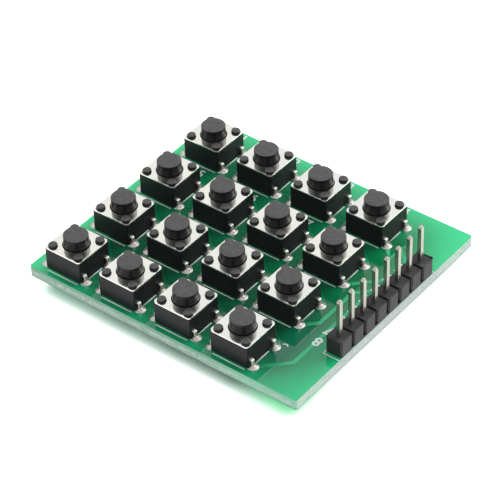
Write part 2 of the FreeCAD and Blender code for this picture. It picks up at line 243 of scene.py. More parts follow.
def laminate_tone(finish, axes, layers):
    """The cut edge: layers of cloth, with dark specks and a broken line of white glass, painted paler on
    the right face, with painted shade on the front face and painted green light by the front corner.
    """
    on_right = remap(finish, axes[0], *RIGHT_FACE)
    on_front = remap(finish, axes[1], *FRONT_FACE)
    # Painted light: the right face gets paler dark layers.
    dark_layer = blend_colours(finish, on_right, LAMINATE_DARK, LAMINATE_DARK_LIT_RIGHT)
    colour = blend_colours(finish, remap(finish, layers, *LAYER_CUT), LAMINATE_PALE, dark_layer)
    from_middle = count(finish, "ABSOLUTE", axes[1])
    by_header = remap(finish, from_middle, *BESIDE_HEADER, GREY_COVER, 0)
    specks = remap(finish, noise_on(finish, 0.22, 2), *SPECK_CUT, 0, SPECK_COVER)
    under_mask = remap(finish, axes[2], *UNDER_MASK, 0, UNDER_MASK_COVER)
    near_corner = remap(finish, axes[0], *NEAR_CORNER)
    # Painted shade: the front face is darkened, less so towards its right end.
    front_shade = remap(finish, near_corner, 0, 1, FRONT_SHADE_COVER, 0)
    # Painted light: a green glow on the front face towards its right end, by the front corner.
    corner_light = count(finish, "MULTIPLY", near_corner, on_front)
    from_glass = count(finish, "ABSOLUTE", count(finish, "SUBTRACT", axes[2], GLASS_LEVEL))
    glass_line = remap(finish, from_glass, *GLASS_FADE, 1, 0)
    broken = remap(finish, noise_on(finish, 0.7, 3, (1, 1, 0.4)), *BREAK_CUT, 0, GLASS_COVER)
    low_line = remap(finish, axes[2], *ABOVE_BOTTOM, 0, LOW_COVER)
    marks = (
        (count(finish, "MULTIPLY", by_header, on_right), GREY_BY_HEADER),
        (specks, STAIN_AND_SHADE),
        (count(finish, "MULTIPLY", under_mask, on_front), GREEN_UNDER_MASK),
        (count(finish, "MULTIPLY", front_shade, on_front), STAIN_AND_SHADE),
        (count(finish, "MULTIPLY", corner_light, CORNER_LIGHT_COVER), CORNER_LIGHT_GREEN),
        (count(finish, "MULTIPLY", glass_line, broken), BROKEN_GLASS),
        (low_line, LOW_GREEN),
    )
    for share, mark in marks:
        colour = blend_colours(finish, share, colour, mark)
    return colour


MASK_GLOSS, EDGE_GLOSS = (0.05, 0.1), (0.65, 0.9)
SKIN_RELIEF, BOARD_RELIEF = 0.08, 0.05


def board_pattern(finish):
    """Joins the mask and the laminate to the board's shader, each on its own faces."""
    axes = axes_on(finish)
    layers = noise_on(finish, 0.9, 6, (0.5, 0.5, 3.2), 0.7)
    under_top = count(finish, "LESS_THAN", axes[2], TOP - MASK_DEPTH)
    over_bottom = count(finish, "GREATER_THAN", axes[2], UNDERSIDE + MASK_DEPTH)
    on_edge = count(finish, "MULTIPLY", under_top, over_bottom)
    edge_colour = laminate_tone(finish, axes, layers)
    join_shader(finish, "Base Color", blend_colours(finish, on_edge, dusty_mask(finish), edge_colour))
    mask_gloss = clouds_on(finish, 1.5, 3, *MASK_GLOSS)
    edge_gloss = remap(finish, layers, *NOISE_MIDDLE, *EDGE_GLOSS)
    join_shader(finish, "Roughness", blend_values(finish, on_edge, mask_gloss, edge_gloss))
    fibres = noise_on(finish, 0.3, 4, (0.3, 0.3, 5))
    skin = remap(finish, noise_on(finish, 1.2, 2), 0, 1, 0, SKIN_RELIEF)
    add_relief(finish, blend_values(finish, on_edge, skin, fibres), BOARD_RELIEF)


mask_and_laminate = new_finish("mask_and_laminate", 0.15, specular=0.6)
board_pattern(mask_and_laminate)
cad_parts["circuit_board"].data.materials[0] = mask_and_laminate

# Copper tracks: etched foil under the solder mask, seen as raised bands of a lighter green.
# Rows run on the top face to the header's back pins, columns down between the keys, and the
# columns reach the header's front pins on the underside.
ROWS = COLUMNS = range(4)
PINS = range(8)
key_low, key_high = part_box("key_base_1")
next_across, next_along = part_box("key_base_2")[0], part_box("key_base_5")[0]
KEY_X = (key_low.x + key_high.x) / 2
KEY_Y = (key_low.y + key_high.y) / 2
PITCH_X = next_across.x - key_low.x
PITCH_Y = key_low.y - next_along.y
LEAD_X, LEAD_Y = 3.25 * MM, 2.25 * MM
header_low, header_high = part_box("header_pins")
PIN_PITCH, HALF_PIN = 2.54 * MM, 0.3 * MM
PIN_X = (header_low.x + header_high.x) / 2
PIN_Y = header_low.y + HALF_PIN
TRACK_HEIGHT, TRACK_SLOPE = 0.03, 0.1
TOP_TRACK_WIDTH, UNDER_TRACK_WIDTH = 0.8, 0.42


def key_centre(row, column):
    return Vector((KEY_X + column * PITCH_X, KEY_Y - row * PITCH_Y, 0))


def lead_place(row, column, side, end):
    """A lead's place: side -1 is left and 1 right, end -1 is front and 1 back."""
    return key_centre(row, column) + Vector((side * LEAD_X, end * LEAD_Y, 0))


def header_pin(number):
    return Vector((PIN_X, PIN_Y + number * PIN_PITCH, 0))


def select_only(*pieces):
    """Selects these pieces and nothing else, the first of them active."""
    bpy.ops.object.select_all(action="DESELECT")
    for piece in pieces:
        piece.select_set(True)
    if pieces:
        bpy.context.view_layer.objects.active = pieces[0]


def edit(piece):
    """Opens a piece in edit mode, alone and with nothing in it selected."""
    select_only(piece)
    bpy.ops.object.mode_set(mode="EDIT")
    bpy.ops.mesh.select_all(action="DESELECT")


def end_edit():
    bpy.ops.mesh.select_all(action="DESELECT")
    bpy.ops.object.mode_set(mode="OBJECT")


MERGE_DISTANCE = 0.0005 * MM


def close_shell(piece):
    """Merges a piece's doubled points, drops empty faces and turns the rest outwards."""
    edit(piece)
    bpy.ops.mesh.select_all(action="SELECT")
    bpy.ops.mesh.remove_doubles(threshold=MERGE_DISTANCE)
    bpy.ops.mesh.dissolve_degenerate(threshold=MERGE_DISTANCE)
    bpy.ops.mesh.normals_make_consistent(inside=False)
    end_edit()


def own_finish(piece, name, finish):
    """Names a piece and gives it one finish all over."""
    piece.name = piece.data.name = name
    piece.data.materials.clear()
    piece.data.materials.append(finish)
    return piece


def lay_ribbons(name, finish, paths, width, thickness, level, slope=0.0):
    """Flat bands along paths, with sloped sides, made as one mesh; level is their underside."""
    select_only()
    bpy.ops.mesh.primitive_plane_add(size=1)
    section = bpy.context.object
    section.scale = width * MM, thickness * MM, 1
    bpy.ops.object.transform_apply(location=False, rotation=False, scale=True)
    for corner in section.data.vertices:
        corner.co.x -= math.copysign(slope * MM, corner.co.x) if corner.co.y > 0 else 0
    bpy.ops.object.convert(target="CURVE")
    section = bpy.context.object
    line = bpy.data.curves.new(name, "CURVE")
    line.dimensions = "3D"
    line.twist_mode = "Z_UP"
    line.bevel_mode = "OBJECT"
    line.bevel_object = section
    line.use_fill_caps = True
    for path in paths:
        run = line.splines.new("POLY")
        run.points.add(len(path) - 1)
        for point, place in zip(run.points, path):
            point.co = (place[0], place[1], level + thickness * MM / 2, 1)
    ribbons = bpy.data.objects.new(name, line)
    bpy.context.collection.objects.link(ribbons)
    select_only(ribbons)
    bpy.ops.object.convert(target="MESH")
    ribbons = own_finish(bpy.context.object, name, finish)
    bpy.data.objects.remove(section)
    close_shell(ribbons)
    return ribbons


masked_copper = new_finish("masked_copper", 0.15)
COPPER_BRIGHTNESS, COPPER_GLOSS = 1.3, (0.08, 0.14)
OPEN_COPPER = (0.04, 0.51, 0.235), (0.055, 0.58, 0.275)
# Among the keys the tracks take the mask's green with its painted light and shade, made brighter; beside
# the keys, out of that painted shade, they take a lighter green of their own.
shaded_among_keys = scale_colour(masked_copper, mask_tone(masked_copper), COPPER_BRIGHTNESS)
beside_keys = remap(masked_copper, axes_on(masked_copper)[0], 13 * MM, 14.5 * MM)
open_copper = two_tones(masked_copper, 2.5, 3, OPEN_COPPER)
copper_colour = blend_colours(masked_copper, beside_keys, shaded_among_keys, open_copper)
join_shader(masked_copper, "Base Color", copper_colour)
join_shader(masked_copper, "Roughness", clouds_on(masked_copper, 1, 3, *COPPER_GLOSS))
add_relief(masked_copper, noise_on(masked_copper, 0.8, 2), 0.005)

LEAD_APPROACH = 0.6 * MM
top_paths = []
for column in COLUMNS:
    for row in ROWS[:-1]:
        start = lead_place(row, column, -1, -1)
        end = lead_place(row + 1, column, 1, 1)
        approach_y = end.y + LEAD_APPROACH
        turn_x = end.x - (start.y - approach_y)
        top_paths.append([start, Vector((turn_x, start.y, 0)), Vector((end.x, approach_y, 0)), end])
ROW_JOG = 0.85 * MM
for row in ROWS:
    for column in COLUMNS[:-1]:
        start = lead_place(row, column, 1, -1)
        end = lead_place(row, column + 1, -1, -1)
        jog, back_jog = Vector((ROW_JOG, ROW_JOG, 0)), Vector((-ROW_JOG, ROW_JOG, 0))
        top_paths.append([start, start + jog, end + back_jog, end])

# Each row with the place of its run beside the keys, in millimetres, and its header pin.
ROW_RUNS = (3, 17.4, 4), (2, 15.65, 5), (1, 14.0, 6), (0, 15.6, 7)
level_x = PIN_X - 1.9 * MM
for row, run_place, pin in ROW_RUNS:
    start = lead_place(row, COLUMNS[-1], 1, -1)
    end = header_pin(pin)
    run_x = run_place * MM
    direction = -1 if row == 0 else 1
    first_turn = Vector((run_x, start.y + direction * (run_x - start.x), 0))
    second_turn = Vector((run_x, end.y - direction * (level_x - run_x), 0))
    top_paths.append([start, first_turn, second_turn, Vector((level_x, end.y, 0)), end])
tracks_top = lay_ribbons(
    "copper_tracks_top", masked_copper, top_paths, TOP_TRACK_WIDTH, TRACK_HEIGHT, TOP, TRACK_SLOPE
)

UNDER_TURN = 0.6 * MM
FIRST_LANE, LANE_PITCH = 1.05, 0.68
FIRST_RUN, RUN_PITCH = 18.3, 0.8
under_paths = []
for column in COLUMNS:
    start = lead_place(ROWS[-1], column, 1, 1)
    end = header_pin(column)
    lane_y = KEY_Y - ROWS[-1] * PITCH_Y - (FIRST_LANE - LANE_PITCH * column) * MM
    run_x = (FIRST_RUN - RUN_PITCH * column) * MM
    turns = (
        (start.x, lane_y),
        (run_x - UNDER_TURN, lane_y),
        (run_x, lane_y + UNDER_TURN),
        (run_x, end.y - (PIN_X - run_x)),
    )
    under_paths.append([start, *(Vector((x, y, 0)) for x, y in turns), end])
under_level = UNDERSIDE - TRACK_HEIGHT * MM
tracks_under = lay_ribbons(
    "copper_tracks_under", masked_copper, under_paths, UNDER_TRACK_WIDTH, TRACK_HEIGHT, under_level
)
for tracks in (tracks_top, tracks_under):
    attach(tracks, "keypad_board")

# Printing: pale ink screened on the mask, with an outline beside each key and the header, and
# plain numbers for the keys and the pins.
INK_TONES = (0.80, 0.94, 0.89), (0.93, 0.99, 0.97)
INK_WIDTH, INK_THICKNESS = 0.19, 0.036
ink = new_finish("board_ink", 0.55)
ink_cover = remap(ink, noise_on(ink, 0.35, 4), 0.35, 0.65)
join_shader(ink, "Base Color", blend_colours(ink, ink_cover, *INK_TONES))
add_relief(ink, noise_on(ink, 0.1, 2), 0.008)

CROSS_LINE_Y, CROSS_LINE_ENDS = 3.26 * MM, (-2.45 * MM, 2.65 * MM)
SIDE_LINE_X, SIDE_LINE_ENDS = 3.07 * MM, (-1.55 * MM, 1.2 * MM)
print_paths = []
for row in ROWS:
    for column in COLUMNS:
        centre = key_centre(row, column)
        for end in (-1, 1):
            print_paths.append([centre + Vector((x, end * CROSS_LINE_Y, 0)) for x in CROSS_LINE_ENDS])
            print_paths.append([centre + Vector((end * SIDE_LINE_X, y, 0)) for y in SIDE_LINE_ENDS])
front_y, back_y = PIN_Y - 1.75 * MM, PIN_Y + PINS[-1] * PIN_PITCH + 1.35 * MM
left_x, right_x = PIN_X - 1.2 * MM, PIN_X + 1.24 * MM
header_corners = (right_x, front_y), (left_x, front_y), (left_x, back_y), (right_x, back_y)
print_paths.append([Vector((x, y, 0)) for x, y in header_corners])
ARC_RADIUS, ARC_DEGREES = 0.4, (20, 50, 80, 110, 140, 165)
arc_middle = key_centre(3, 3) + Vector((4.13, 3.1, 0)) * MM
arc_path = []
for angle in map(math.radians, ARC_DEGREES):
    arc_path.append(arc_middle + Vector((math.cos(angle), math.sin(angle), 0)) * ARC_RADIUS * MM)
print_paths.append(arc_path)
outlines = lay_ribbons("printed_outlines", ink, print_paths, INK_WIDTH, INK_THICKNESS, TOP)

FIGURE_SIZE, FIGURE_BOLDNESS = 1.35, 0.028


def print_number(number, place, height, turned=0.0):
    """A plain number in ink on the board's top face, turned by an angle; a 9 is a turned 6."""
    if number == 9:
        number = 6
        turned += math.pi
    half_ink = INK_THICKNESS / 2 * MM
    bpy.ops.object.text_add()
    figure = bpy.context.object
    figure.data.body = str(number)
    figure.data.size = height * FIGURE_SIZE
    figure.data.align_x = "CENTER"
    figure.data.align_y = "CENTER"
    figure.data.extrude = half_ink
    figure.data.offset = FIGURE_BOLDNESS * height
    bpy.ops.object.convert(target="MESH")
    figure = bpy.context.object
    figure.data.transform(Matrix.Rotation(turned, 4, "Z"))
    figure.data.transform(Matrix.Translation((place.x, place.y, TOP + half_ink)))
    return figure


def join_pieces(pieces, name):
    """Joins pieces to one mesh under a new name."""
    select_only(*pieces)
    bpy.ops.object.join()
    whole = bpy.context.object
    whole.name = whole.data.name = name
    return whole


KEY_FIGURE_HEIGHT, PIN_FIGURE_HEIGHT = 1.5 * MM, 1.65 * MM
FIGURE_RIGHT, FIGURE_LEFT, FIGURE_BEHIND = 1.2, -0.6, 5.0
FIRST_LEFT_FIGURE = 8
PIN_FIGURE_SHIFT = Vector((-3.0, -0.45, 0)) * MM
figures = []
select_only()
for row in ROWS:
    for column in COLUMNS:
        number = row * len(COLUMNS) + column + 1
        beside = FIGURE_RIGHT if number < FIRST_LEFT_FIGURE else FIGURE_LEFT
        place = key_centre(row, column) + Vector((beside, FIGURE_BEHIND, 0)) * MM
        figures.append(print_number(number, place, KEY_FIGURE_HEIGHT))
for pin in PINS:
    place = header_pin(pin) + PIN_FIGURE_SHIFT
    figures.append(print_number(len(PINS) - pin, place, PIN_FIGURE_HEIGHT, math.pi))
numbers = own_finish(join_pieces(figures, "printed_numbers"), "printed_numbers", ink)
close_shell(numbers)
for print_work in (outlines, numbers):
    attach(print_work, "keypad_board")

# Terminals: tinned strips stamped and bent to a bridge through each key, whose ends come out at
# the sides, turn down in a small bend and go through the board as solder leads.
STRIP_TONES, STRIP_BEND_HIGHLIGHT = ((0.62, 0.61, 0.52), (0.76, 0.75, 0.655)), (0.97, 0.96, 0.9)
STRIP_GLOSS, STRIP_ROUNDING = (0.42, 0.55), 0.04
STRIP_TOP = TOP + 1.2 * MM
tinned_strip = new_finish("tinned_strip", 0.5, metallic=0.75)
strip_z = axes_on(tinned_strip)[2]
# Painted highlight: the top of each bend is painted almost white.
bend_highlight = remap(tinned_strip, strip_z, STRIP_TOP - 0.12 * MM, STRIP_TOP - 0.05 * MM)
flat_colour = two_tones(tinned_strip, 0.5, 4, STRIP_TONES)
strip_colour = blend_colours(tinned_strip, bend_highlight, flat_colour, STRIP_BEND_HIGHLIGHT)
join_shader(tinned_strip, "Base Color", strip_colour)
join_shader(tinned_strip, "Roughness", clouds_on(tinned_strip, 0.3, 3, *STRIP_GLOSS))
add_relief(tinned_strip, noise_on(tinned_strip, 0.15, 2, (1, 1, 0.3)), 0.006)


def add_modifier(piece, kind, **settings):
    """Adds a modifier to a piece and applies it."""
    select_only(piece)
    modifier = piece.modifiers.new(kind.title(), kind)
    for setting, value in settings.items():
        setattr(modifier, setting, value)
    bpy.ops.object.modifier_apply(modifier=modifier.name)


def shade_smooth(degrees=35):
    """Shades the selected piece smooth, but for edges that turn more than the angle."""
    bpy.ops.object.shade_smooth_by_angle(angle=math.radians(degrees))


def soften_edges(piece, width, segments=2, angle=40):
    """Rounds a piece's sharp edges and shades it smooth, with its flat faces still flat."""
    limit = math.radians(angle)
    add_modifier(
        piece, "BEVEL", width=width * MM, segments=segments, limit_method="ANGLE", angle_limit=limit
    )
    shade_smooth()
    add_modifier(piece, "WEIGHTED_NORMAL", keep_sharp=True, weight=100)


def copy_piece(piece, name, shift):
    """The same piece at another place, with a mesh of its own."""
    twin = bpy.data.objects.new(name, piece.data.copy())
    twin.data.name = name
    twin.data.transform(Matrix.Translation(shift))
    bpy.context.collection.objects.link(twin)
    return twin


def extrude_by(x, y, z):
    bpy.ops.mesh.extrude_region_move(TRANSFORM_OT_translate={"value": (x, y, z)})


def resize_flat(share, centre):
    """Makes the selected faces wider or narrower about a point, at the same height."""
    bpy.ops.transform.resize(value=(share, share, 1), center_override=centre)


STRIP_THICKNESS, STRIP_WIDTH = 0.2 * MM, 0.5 * MM
BEND_INSIDE, BEND_STEPS = 0.01 * MM, 2
TIP_NARROWING, TIP_HEIGHT = 0.7, 0.35 * MM


def bend_strip(name, centre):
    """One terminal: a rectangle drawn up from a lead's tip, over the bridge and down again."""
    near_lead, far_lead = centre.x - LEAD_X, centre.x + LEAD_X
    select_only()
    bpy.ops.mesh.primitive_plane_add(size=1, location=(near_lead, centre.y, 0))
    strip = bpy.context.object
    strip.scale = STRIP_THICKNESS * TIP_NARROWING, STRIP_WIDTH * TIP_NARROWING, 1
    bpy.ops.object.transform_apply(location=True, rotation=False, scale=True)
    edit(strip)
    bpy.ops.mesh.select_all(action="SELECT")
    extrude_by(0, 0, TIP_HEIGHT)
    resize_flat(1 / TIP_NARROWING, (near_lead, centre.y, TIP_HEIGHT))
    bend_z = STRIP_TOP - STRIP_THICKNESS - BEND_INSIDE
    extrude_by(0, 0, bend_z - TIP_HEIGHT)
    outer_x = centre.x - (LEAD_X + STRIP_THICKNESS / 2)
    near_x = outer_x + STRIP_THICKNESS + BEND_INSIDE
    far_x = 2 * centre.x - near_x
    bend = {"steps": BEND_STEPS, "angle": -math.pi / 2, "axis": (0, 1, 0)}
    bpy.ops.mesh.spin(center=(near_x, centre.y, bend_z), **bend)
    extrude_by(far_x - near_x, 0, 0)
    bpy.ops.mesh.spin(center=(far_x, centre.y, bend_z), **bend)
    extrude_by(0, 0, TIP_HEIGHT - bend_z)
    extrude_by(0, 0, -TIP_HEIGHT)
    resize_flat(TIP_NARROWING, (far_lead, centre.y, 0))
    end_edit()
    close_shell(strip)
    return own_finish(strip, name, tinned_strip)


first_strip = bend_strip("strip", key_centre(0, 0) + Vector((0, LEAD_Y, 0)))
soften_edges(first_strip, STRIP_ROUNDING)
for row in ROWS:
    strips = []
    for column in COLUMNS:
        for end in (0, -2 * LEAD_Y):
            shift = Vector((column * PITCH_X, end - row * PITCH_Y, 0))
            strips.append(copy_piece(first_strip, "strip_copy", shift))
    terminals = join_pieces(strips, f"solder_terminals_row_{row + 1}")
    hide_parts(f"terminals_row_{row + 1}")
    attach(terminals, "keypad_board")
bpy.data.objects.remove(first_strip)

# Solder joints: tin that flowed round each lead and set as a lumpy low cone on its pad, above and
# below the board, and round the header's pins below it.
SOLDER_TONES = (0.40, 0.385, 0.375), (0.58, 0.565, 0.55)
SOLDER_GLOSS = 0.38, 0.55
solder = new_finish("solder", 0.25, metallic=1.0)
join_shader(solder, "Base Color", two_tones(solder, 0.4, 3, SOLDER_TONES))
join_shader(solder, "Roughness", clouds_on(solder, 0.4, 3, *SOLDER_GLOSS))
add_relief(solder, noise_on(solder, 0.3, 2), 0.012)

RIPPLE_SIZE, RIPPLE_HEIGHT = 0.8 * MM, 0.07 * MM
ripples = bpy.data.textures.new("solder_ripples", "CLOUDS")
ripples.noise_scale = RIPPLE_SIZE


def draw_up(centre, rings, sides=32):
    """A turned form: a disc drawn up through rings of (radius, height) in millimetres."""
    radius, height = rings[0]
    place = centre.x, centre.y, centre.z + height * MM
    select_only()
    bpy.ops.mesh.primitive_circle_add(
        vertices=sides, radius=radius * MM, fill_type="NGON", location=place
    )
    turned = bpy.context.object
    bpy.ops.object.transform_apply(location=True, rotation=False, scale=False)
    edit(turned)
    bpy.ops.mesh.select_all(action="SELECT")
    for new_radius, new_height in rings[1:]:
        extrude_by(0, 0, (new_height - height) * MM)
        resize_flat(new_radius / radius, (centre.x, centre.y, centre.z + new_height * MM))
        radius, height = new_radius, new_height
    bpy.ops.mesh.select_all(action="SELECT")
    bpy.ops.mesh.normals_make_consistent(inside=False)
    end_edit()
    return turned


WIDTH_RANGE, LENGTH_RANGE = (0.94, 1.05), (0.92, 1.05)
TURN_RANGE = 0, 6.28


def solder_row(name, places, rings):
    """Joints of one row, each turned and lumpy in its own way."""
    first_joint = draw_up(places[0], rings)
    joints = [first_joint]
    joints += [copy_piece(first_joint, "joint", place - places[0]) for place in places[1:]]
    chance = random.Random(name)
    for joint, place in zip(joints, places):
        stretch = Matrix.Diagonal((chance.uniform(*WIDTH_RANGE), chance.uniform(*LENGTH_RANGE), 1, 1))
        turn = Matrix.Rotation(chance.uniform(*TURN_RANGE), 4, "Z")
        joint.data.transform(Matrix.Translation(-place))
        joint.data.transform(stretch @ turn)
        joint.data.transform(Matrix.Translation(place))
    row_joints = own_finish(join_pieces(joints, name), name, solder)
    add_modifier(
        row_joints, "DISPLACE", texture=ripples, texture_coords="GLOBAL", strength=RIPPLE_HEIGHT
    )
    shade_smooth(60)
    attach(row_joints, "keypad_board")


TOP_JOINT = [(0.75, 0), (0.77, 0.03), (0.75, 0.06), (0.68, 0.085), (0.58, 0.10), (0.50, 0.13)]
TOP_JOINT += [(0.44, 0.19), (0.38, 0.28), (0.2, 0.32)]
UNDER_JOINT = [(0.88, 0), (0.89, -0.05), (0.82, -0.16), (0.70, -0.30), (0.58, -0.50), (0.48, -0.75)]
UNDER_JOINT += [(0.42, -1.0), (0.36, -1.15), (0.2, -1.2)]
sides_and_ends = [(side, end) for side in (-1, 1) for end in (-1, 1)]
for row in ROWS:
    for face, level, rings in (("top", TOP, TOP_JOINT), ("under", UNDERSIDE, UNDER_JOINT)):
        lift = Vector((0, 0, level))
        places = [
            lead_place(row, column, *corner) + lift for column in COLUMNS for corner in sides_and_ends
        ]
        solder_row(f"solder_{face}_row_{row + 1}", places, rings)
pin_places = [header_pin(pin) + Vector((0, 0, UNDERSIDE)) for pin in PINS]
solder_row("solder_under_pins", pin_places, UNDER_JOINT)

# Key bases: black glass-filled plastic moulded round the terminals, with a round well for the dome
# and four studs that hold the cover plate. They stand on a low foot over the board.
BASE_TONES = (0.0125, 0.0115, 0.0145), (0.0175, 0.016, 0.0205)
STUD_FACE_TONE = 0.068, 0.066, 0.066
BASE_SHINE, STUD_FACE_SHINE, BASE_GLOSS = 0.19, 0.5, (0.38, 0.46)
STUD_TOP = TOP + 3.84 * MM
base_plastic = new_finish("base_plastic", 0.22)
base_z = axes_on(base_plastic)[2]
stud_face = remap(base_plastic, base_z, STUD_TOP - 0.08 * MM, STUD_TOP - 0.02 * MM)
moulded_colour = two_tones(base_plastic, 1.5, 3, BASE_TONES)
base_colour = blend_colours(base_plastic, stud_face, moulded_colour, STUD_FACE_TONE)
join_shader(base_plastic, "Base Color", base_colour)
join_shader(base_plastic, "Roughness", clouds_on(base_plastic, 0.8, 3, *BASE_GLOSS))
base_shine = remap(base_plastic, stud_face, 0, 1, BASE_SHINE, STUD_FACE_SHINE)
join_shader(base_plastic, "Specular IOR Level", base_shine)
add_relief(base_plastic, noise_on(base_plastic, 1.2, 2), 0.004)


def add_block(low, high):
    """A block between two corners."""
    select_only()
    bpy.ops.mesh.primitive_cube_add(size=1, location=(Vector(low) + Vector(high)) / 2)
    block = bpy.context.object
    block.scale = Vector(high) - Vector(low)
    bpy.ops.object.transform_apply(location=True, rotation=False, scale=True)
    return block


def add_round(centre, radius, low, high, sides=40):
    """An upright round bar, for a tool or a stud."""
    select_only()
    bpy.ops.mesh.primitive_cylinder_add(
        vertices=sides,
        radius=radius * MM,
        depth=high - low,
        location=(centre.x, centre.y, (low + high) / 2),
    )
    bpy.ops.object.transform_apply(location=True, rotation=False, scale=False)
    return bpy.context.object


def combine(piece, tool, operation):
    """Joins a tool to a piece or cuts it out, and takes the tool away."""
    add_modifier(piece, "BOOLEAN", object=tool, operation=operation, solver="EXACT")
    bpy.data.objects.remove(tool)


UPRIGHT = 0.99


def round_upright_edges(piece, radius, segments):
    """Bevels the edges of a piece that stand upright."""
    edit(piece)
    bpy.ops.mesh.select_mode(type="EDGE")
    mesh = bmesh.from_edit_mesh(piece.data)
    for edge in mesh.edges:
        first, last = (vertex.co for vertex in edge.verts)
        if abs((last - first).normalized().z) > UPRIGHT:
            edge.select_set(True)
    bmesh.update_edit_mesh(piece.data)
    bpy.ops.mesh.bevel(offset=radius * MM, segments=segments, affect="EDGES")
    end_edit()


first_key = key_centre(0, 0)
BASE_TOP = key_low.z + 3.3 * MM
HALF_BASE, BASE_LEVEL = 2.95 * MM, TOP + 0.1 * MM
BASE_CORNER, BASE_ROUNDING = 0.18, 0.05
HALF_FOOT, FOOT_TOP = 2.5 * MM, TOP + 0.4 * MM
WELL_RADIUS, WELL_FLOOR = 2.25, TOP + 1.6 * MM
STUD_SPACING, STUD_RADIUS, STUD_ROOT = 4.34, 0.6, 0.4 * MM


def add_key_block(half, low, high):
    """A square block round the first key's middle."""
    return add_block(
        (first_key.x - half, first_key.y - half, low), (first_key.x + half, first_key.y + half, high)
    )


def stud_place(side, end):
    """The middle of one of the first key's studs."""
    return first_key + Vector((side * STUD_SPACING / 2 * MM, end * STUD_SPACING / 2 * MM, 0))


first_base = add_key_block(HALF_BASE, BASE_LEVEL, BASE_TOP)
round_upright_edges(first_base, BASE_CORNER, 3)
combine(first_base, add_key_block(HALF_FOOT, TOP, FOOT_TOP), "UNION")
combine(first_base, add_round(first_key, WELL_RADIUS, WELL_FLOOR, BASE_TOP + MM, 64), "DIFFERENCE")
for side, end in sides_and_ends:
    stud = add_round(stud_place(side, end), STUD_RADIUS, BASE_TOP - STUD_ROOT, STUD_TOP)
    combine(first_base, stud, "UNION")
soften_edges(first_base, BASE_ROUNDING)
own_finish(first_base, "base", base_plastic)

# Cover plates: bright steel stamped flat, with round corners, a round opening for the button and
# four holes that the base's studs are pressed through.
PLATE_TONES = (0.825, 0.815, 0.75), (0.87, 0.86, 0.805)
PLATE_COOL_TONE, PLATE_RIM_SHADE = (0.785, 0.815, 0.805), (0.77, 0.76, 0.70)
PLATE_GLOSS = 0.12, 0.16
PLATE_TOP = BASE_TOP + 0.2 * MM
plate_steel = new_finish("plate_steel", 0.11, metallic=1.0)
plate_z = axes_on(plate_steel)[2]
cool_share = remap(plate_steel, noise_on(plate_steel, 16, 1), 0.5, 0.62, 0, 0.55)
# Painted shade: the plate's thin side, below its top face, is painted darker.
on_rim = remap(plate_steel, plate_z, PLATE_TOP - 0.035 * MM, PLATE_TOP - 0.005 * MM, 1, 0)
plate_colour = two_tones(plate_steel, 2.5, 4, PLATE_TONES)
plate_colour = blend_colours(plate_steel, cool_share, plate_colour, PLATE_COOL_TONE)
plate_colour = blend_colours(plate_steel, on_rim, plate_colour, PLATE_RIM_SHADE)
join_shader(plate_steel, "Base Color", plate_colour)
join_shader(plate_steel, "Roughness", clouds_on(plate_steel, 0.6, 4, *PLATE_GLOSS))
add_relief(plate_steel, noise_on(plate_steel, 2.5, 2), 0.002)

HALF_PLATE, PLATE_CORNER, PLATE_ROUNDING = 3.0 * MM, 0.5, 0.04
OPENING_RADIUS, STUD_HOLE_RADIUS = 1.87, 0.63
first_plate = add_key_block(HALF_PLATE, BASE_TOP, PLATE_TOP)
round_upright_edges(first_plate, PLATE_CORNER, 6)
punches = [add_round(first_key, OPENING_RADIUS, BASE_TOP - MM, PLATE_TOP + MM, 64)]
for side, end in sides_and_ends:
    place = stud_place(side, end)
    punches.append(add_round(place, STUD_HOLE_RADIUS, BASE_TOP - MM, PLATE_TOP + MM))
for punch in punches:
    combine(first_plate, punch, "DIFFERENCE")
soften_edges(first_plate, PLATE_ROUNDING)
own_finish(first_plate, "plate", plate_steel)

# Buttons: black plastic, moulded as a round post with a matte top that flares out to a skirt in the
# plate's opening. A flange under the plate keeps it in, and a nub presses the dome.
BUTTON_SIDE_TONE, BUTTON_TOP_TONE = (0.0105, 0.0101, 0.011), (0.107, 0.105, 0.106)
SIDE_GLOSS, TOP_GLOSS, BUTTON_SHADES = 0.37, 0.6, (0.8, 1.2)
BUTTON_TOP = TOP + 5.05 * MM
button_plastic = new_finish("button_plastic", 0.3, specular=0.21)
button_z = axes_on(button_plastic)[2]
matte = remap(button_plastic, button_z, BUTTON_TOP - 0.06 * MM, BUTTON_TOP - 0.02 * MM)
button_shade = clouds_on(button_plastic, 0.6, 4, *BUTTON_SHADES)
button_colour = blend_colours(button_plastic, matte, BUTTON_SIDE_TONE, BUTTON_TOP_TONE)
join_shader(button_plastic, "Base Color", scale_colour(button_plastic, button_colour, button_shade))
join_shader(button_plastic, "Roughness", remap(button_plastic, matte, 0, 1, SIDE_GLOSS, TOP_GLOSS))
grain = count(button_plastic, "MULTIPLY", noise_on(button_plastic, 0.09, 2), matte)
add_relief(button_plastic, grain, 0.03)

BUTTON_RINGS = [(0.45, 2.02), (0.5, 2.05), (0.5, 2.43), (2.1, 2.43), (2.14, 2.47), (2.14, 3.19)]
BUTTON_RINGS += [(2.1, 3.23), (1.765, 3.23), (1.765, 3.60), (1.775, 3.64), (1.775, 3.68), (1.768, 3.74)]
BUTTON_RINGS += [(1.752, 3.84), (1.735, 3.96), (1.718, 4.08), (1.703, 4.20), (1.692, 4.32), (1.686, 4.45)]
BUTTON_RINGS += [(1.684, 4.96), (1.676, 5.005), (1.656, 5.035), (1.626, 5.05), (1.0, 5.05), (0.4, 5.05)]
first_button = draw_up(first_key + Vector((0, 0, TOP)), BUTTON_RINGS, 56)
shade_smooth()
own_finish(first_button, "button", button_plastic)

